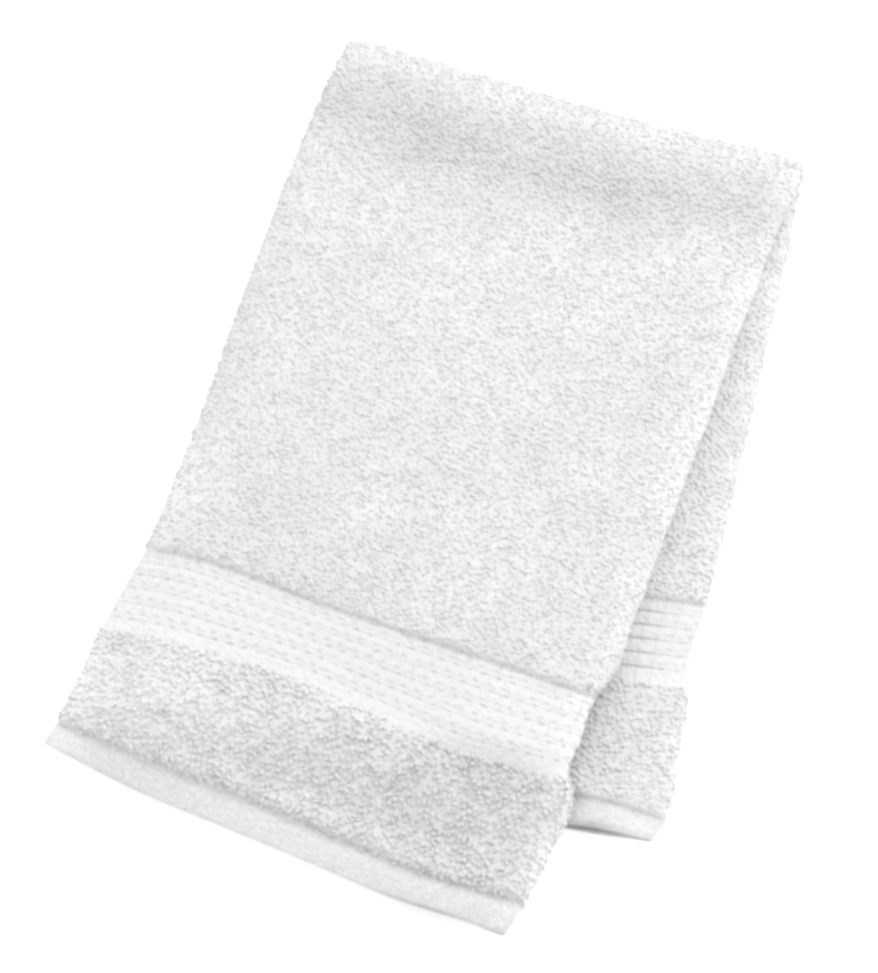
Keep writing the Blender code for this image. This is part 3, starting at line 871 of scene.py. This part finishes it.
def pile_tree(variants, material):
    """Geometry Nodes tree that sets loops on a patch of cloth, spread out evenly, turned and leaning at random."""
    tree = bpy.data.node_groups.new("terry_pile", "GeometryNodeTree")
    tree.interface.new_socket("Geometry", in_out="INPUT", socket_type="NodeSocketGeometry")
    for name in PILE_INPUTS:
        tree.interface.new_socket(name, in_out="INPUT", socket_type="NodeSocketFloat")
    tree.interface.new_socket("Seed", in_out="INPUT", socket_type="NodeSocketInt")
    tree.interface.new_socket("Geometry", in_out="OUTPUT", socket_type="NodeSocketGeometry")
    given = add_node(tree, "NodeGroupInput")
    host, seed = given["Geometry"], given["Seed"]
    spread_out = {"Mesh": host, "Distance Min": given["Spacing"], "Density Max": given["Density"], "Seed": seed}
    feet = add_node(tree, "GeometryNodeDistributePointsOnFaces", spread_out, distribute_method="POISSON")
    # The cloth's normal under each loop is kept for the yarn's shading, longer where the pile is softer.
    soft = {"Vector": feet["Normal"], "Scale": given["Softness"]}
    normal = add_node(tree, VECTOR_MATH, soft, operation="SCALE")[0]
    kept = {"Geometry": feet["Points"], "Name": "cloth_normal", "Value": normal}
    marked = add_node(tree, KEEP, kept, data_type="FLOAT_VECTOR", domain="POINT")[0]
    # Each loop leans by up to Lean both ways, is turned to any side, and differs in size by up to Size Spread.
    lean = given["Lean"]
    least_lean = add_node(tree, "MULTIPLY", (lean, -1.0))[0]
    least = add_node(tree, "ShaderNodeCombineXYZ", (least_lean, least_lean))[0]
    most = add_node(tree, "ShaderNodeCombineXYZ", (lean, lean, 2.0 * math.pi))[0]
    angles = add_node(tree, RANDOM, {0: least, 1: most, "Seed": seed}, data_type="FLOAT_VECTOR")[0]
    spin = add_node(tree, "FunctionNodeEulerToRotation", {0: angles})[0]
    turn = {"Rotation": feet["Rotation"], "Rotate By": spin}
    turned = add_node(tree, "FunctionNodeRotateRotation", turn, rotation_space="LOCAL")[0]
    smallest = add_node(tree, "SUBTRACT", (given["Size"], given["Size Spread"]))[0]
    largest = add_node(tree, "ADD", (given["Size"], given["Size Spread"]))[0]
    size = add_node(tree, RANDOM, {2: smallest, 3: largest, "Seed": seed}, data_type="FLOAT")[1]
    # The pile stands higher where its mottles or painted shade darken it, and is pressed flat where they brighten it.
    nap = add_node(tree, "GeometryNodeInputNamedAttribute", {"Name": "nap"}, data_type="FLOAT")[0]
    ruffled = add_node(tree, "MULTIPLY_ADD", (nap, 3.0, given["Height"]))[0]
    ruffled = add_node(tree, "MAXIMUM", (ruffled, 0.3))[0]
    height = add_node(tree, "MULTIPLY", (ruffled, size))[0]
    scale = add_node(tree, "ShaderNodeCombineXYZ", (size, size, height))[0]
    shapes = add_node(tree, "GeometryNodeCollectionInfo", {0: variants, "Separate Children": True})[0]
    placing = {"Points": marked, "Instance": shapes, "Pick Instance": True, "Rotation": turned, "Scale": scale}
    placed = add_node(tree, "GeometryNodeInstanceOnPoints", placing)[0]
    # A loop's tone is mostly its own, and partly that of its clump, about 5 mm wide.
    spot = add_node(tree, "GeometryNodeInputPosition")[0]
    clump = add_node(tree, NOISE, {"Vector": spot, "Scale": 200.0, "Detail": 1.0})["Fac"]
    clump = add_node(tree, MAP_RANGE, {"Value": clump, "From Min": 0.3, "From Max": 0.7, "To Max": 0.4})[0]
    own = add_node(tree, RANDOM, {2: 0.0, 3: 0.6, "Seed": 3}, data_type="FLOAT")[1]
    tone = add_node(tree, "ADD", (own, clump))[0]
    kept = {"Geometry": placed, "Name": "tone", "Value": tone}
    toned = add_node(tree, KEEP, kept, data_type="FLOAT", domain="INSTANCE")[0]
    real = add_node(tree, "GeometryNodeRealizeInstances", {"Geometry": toned})[0]
    finish = add_node(tree, "GeometryNodeSetMaterial", {"Geometry": real, "Material": material})[0]
    add_node(tree, "NodeGroupOutput", {"Geometry": finish})
    return tree


# Parts of the cloth that carry visible pile. Those of the upper half lie between start and end along the cloth.
Patch = namedtuple("Patch", "name start end spacing size spread height lean softness")
PATCHES = (
    Patch("pile_hem_edge", 14.5, 18.8, 1.0, 1.4, 0.3, 1.3, 0.85, 0.7),
    Patch("pile_upper_front", 18.8, 73.4, 1.2, 1.3, 0.25, 1.4, 0.5, 0.7),
    Patch("pile_upper_near", 114.5, 205.0, 1.06, 1.2, 0.25, 0.42, 0.3, 0.6),
    Patch("pile_upper_middle", 205.0, 298.0, 1.06, 1.2, 0.25, 0.42, 0.3, 0.6),
    Patch("pile_upper_far", 298.0, 500.0, 1.06, 1.2, 0.25, 0.42, 0.3, 0.6),
    Patch("pile_edges", None, None, 1.12, 1.2, 0.22, 0.8, 0.42, 0.8),
)
PILE_INPUTS = ("Spacing", "Density", "Size", "Size Spread", "Height", "Lean", "Softness")

# More tries for a loop's place than fit, so that the loops are packed as closely as their spacing lets them.
TRIES = 2.2


def patch_faces(patch, v, half, around, last):
    """Skin's faces over the patch, up to the last column of the outer face."""
    middles = 0.5 * (v[:-1] + v[1:])
    rows = [i for i, middle in enumerate(middles) if half[i + 1] == 0 and patch.start < middle < patch.end]
    if patch.name == "pile_upper_far":
        rows += [i for i in range(len(middles)) if 2 in (half[i], half[i + 1])]
    return [quad_at(i, j, around) for i in rows for j in range(last)]


def edge_faces(points, v, half, around, columns):
    """Skin's faces in the lower half's strip that shows beside the upper half, its long fold, and the selvedges."""
    side = list(zip(*UPPER_HALF))
    low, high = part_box("towel")
    right = high[0] - max(line.right for line in LOWER_HALF) * MM
    fold = low[1] + max(max(line[3:]) for line in UPPER_HALF) * MM
    outer = 2 * columns + ARC_STEPS
    quads = []
    for i, middle in enumerate(0.5 * (v[:-1] + v[1:])):
        if terry_share(middle) < 0.5:
            continue
        if half[i] == 1:
            for j in range(columns, outer):
                x, y = points[i, j, :2]
                edge = np.interp((y - fold) / MM, [-back for back in side[8]], side[2])
                if x - right > (edge - STRIP_UNDER) * MM:
                    quads.append(quad_at(i, j, around))
        else:
            rims = (*range(outer, outer + RIM_POINTS + 1), *range(around - RIM_POINTS - 1, around))
            quads += [quad_at(i, j, around) for j in rims]
    return quads


def grow_pile(name, host_points, nap, quads, tree, values):
    """Runs the pile's tree on these faces and keeps the result as a plain mesh object."""
    used = sorted({k for quad in quads for k in quad})
    new_index = {old: new for new, old in enumerate(used)}
    host = new_object(name + "_host", host_points[used].tolist(), [[new_index[k] for k in quad] for quad in quads])
    # Painted shade and light with the pile's mottles, which also set how high the loops stand.
    set_values(host.data, "nap", nap[used])
    modifier = host.modifiers.new("pile", "NODES")
    modifier.node_group = tree
    identifiers = {item.name: item.identifier for item in tree.interface.items_tree if item.in_out == "INPUT"}
    for key, value in values.items():
        modifier[identifiers[key]] = value
    graph = bpy.context.evaluated_depsgraph_get()
    mesh = bpy.data.meshes.new_from_object(host.evaluated_get(graph))
    if not mesh.polygons:
        raise RuntimeError(f"{name} has no loops")
    mesh.name = name
    bpy.data.objects.remove(host, do_unlink=True)
    return add_object(name, mesh)


class TOWEL_OT_pile(bpy.types.Operator):
    bl_idname = "towel.pile"
    bl_label = "Grow Pile"

    def execute(self, context):
        settings, cloth_settings = context.scene.towel_pile, context.scene.towel_cloth
        points, _, v, half, nap = towel_rings(cloth_settings)
        around, columns = points.shape[1], cloth_settings.columns
        variants = bpy.data.collections.new("loop_variants")
        for i, loop in enumerate(LOOPS):
            new_object(f"loop_{i}", *loop_shape(loop, settings), collection=variants)
        tree = pile_tree(variants, loop_material())
        for k, patch in enumerate(PATCHES):
            if patch.start is None:
                quads = edge_faces(points, v, half, around, columns)
            else:
                quads = patch_faces(patch, v, half, around, columns + ARC_STEPS)
            sizes = (settings.spacing * patch.spacing, TRIES / settings.spacing**2, *patch[4:])
            values = dict(zip(PILE_INPUTS, sizes)) | {"Seed": settings.seed + k}
            pile = grow_pile(patch.name, points.reshape(-1, 3), nap.reshape(-1), quads, tree, values)
            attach(pile, "root")
        for shape in list(variants.objects):
            bpy.data.objects.remove(shape, do_unlink=True)
        bpy.data.collections.remove(variants)
        return {"FINISHED"}


CAMERA_TARGET = Vector((-0.00786, -0.01175, 0.010))


def aim(obj, place, target):
    """Puts a lamp or camera at its place and points it at the target."""
    turn = (Vector(target) - Vector(place)).to_track_quat("-Z", "Y").to_matrix()
    obj.matrix_world = Matrix.Translation(place) @ turn.to_4x4()


def area_light(name, place, size, power):
    """Adds a soft rectangular lamp that faces the middle of the floor."""
    data = bpy.data.lights.new(name, "AREA")
    data.shape = "RECTANGLE"
    data.size, data.size_y = size
    data.energy = power
    aim(add_object(name, data), place, (0.0, 0.0, 0.0))


def floor_material():
    """Matt white acrylic floor with a little light of its own, so that shadows on it stay pale."""
    material = bpy.data.materials.new("white_acrylic_floor")
    material.use_nodes = True
    tree = material.node_tree
    place = add_node(tree, "ShaderNodeTexCoord")["Object"]
    tooth = add_node(tree, NOISE, {"Vector": place, "Scale": 300.0})["Fac"]
    relief = add_node(tree, BUMP, {"Height": tooth, "Strength": 0.02, "Distance": 0.0002})[0]
    surface = {"Base Color": srgb("#EEEEEE"), "Roughness": 0.9, "IOR": 1.49, "Specular IOR Level": 0.2}
    glow = {"Emission Color": srgb("#FFFFFF"), "Emission Strength": 0.45, "Normal": relief}
    fill_inputs(tree, tree.nodes["Principled BSDF"], surface | glow)
    return material


class TOWEL_OT_stage(bpy.types.Operator):
    """Sets the floor, the soft light and the camera"""

    bl_idname = "towel.stage"
    bl_label = "Set Stage"

    def execute(self, context):
        settings, scene = context.scene.towel_stage, context.scene
        half = 0.5 * settings.floor_size
        corners = [(-half, -half, 0.0), (half, -half, 0.0), (half, half, 0.0), (-half, half, 0.0)]
        floor = new_object("floor", corners, [(0, 1, 2, 3)], smooth=False)
        floor.data.materials.append(floor_material())
        floor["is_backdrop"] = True

        world = bpy.data.worlds.new("soft_white_room")
        world.use_nodes = True
        sky = {"Color": srgb("#FFFFFF"), "Strength": 0.84}
        fill_inputs(world.node_tree, world.node_tree.nodes["Background"], sky)
        scene.world = world
        area_light("window_back_right", (0.75, 1.15, 1.35), (1.2, 0.9), 17.0)
        area_light("fill_left", (-1.3, 0.3, 1.2), (1.2, 1.2), 4.0)
        scene.view_settings.view_transform = "Standard"
        scene.view_settings.look = "None"
        scene.cycles.max_bounces = 16
        scene.cycles.diffuse_bounces = 12
        scene.cycles.filter_width = 3.6

        camera = bpy.data.cameras.new("photo_camera")
        camera.lens = settings.lens
        camera.sensor_width = 36.0
        camera.clip_end = 20.0
        view = add_object("photo_camera", camera)
        rise, turn = settings.elevation, settings.azimuth
        away = Vector((math.sin(turn) * math.cos(rise), -math.cos(turn) * math.cos(rise), math.sin(rise)))
        aim(view, CAMERA_TARGET + settings.distance * away, CAMERA_TARGET)
        scene.camera = view
        return {"FINISHED"}


class TOWEL_PT_panel(bpy.types.Panel):
    """Lists the towel's pieces and their sizes"""

    bl_idname = "TOWEL_PT_panel"
    bl_label = "Folded Towel"
    bl_space_type = "VIEW_3D"
    bl_region_type = "UI"
    bl_category = "Towel"

    def draw(self, context):
        for name, (_, operator) in GROUPS.items():
            box = self.layout.box()
            settings = getattr(context.scene, name)
            for key in settings.__class__.__annotations__:
                box.prop(settings, key)
            box.operator(operator.bl_idname)


GROUPS = {
    "towel_cloth": (ClothSettings, TOWEL_OT_cloth),
    "towel_pile": (PileSettings, TOWEL_OT_pile),
    "towel_stage": (StageSettings, TOWEL_OT_stage),
}


def register():
    for name, (settings, operator) in GROUPS.items():
        bpy.utils.register_class(settings)
        bpy.utils.register_class(operator)
        setattr(bpy.types.Scene, name, bpy.props.PointerProperty(type=settings))
    bpy.utils.register_class(TOWEL_PT_panel)


def unregister():
    bpy.utils.unregister_class(TOWEL_PT_panel)
    for name, (settings, operator) in GROUPS.items():
        delattr(bpy.types.Scene, name)
        bpy.utils.unregister_class(operator)
        bpy.utils.unregister_class(settings)


def main():
    register()
    bpy.ops.towel.cloth()
    bpy.ops.towel.pile()
    bpy.ops.towel.stage()
    boxes = {"cad": CAD_BOX, "visual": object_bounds()}
    {key: [[float(x) for x in corner] for corner in box] for key, box in boxes.items()}


if __name__ == "__main__":
    main()
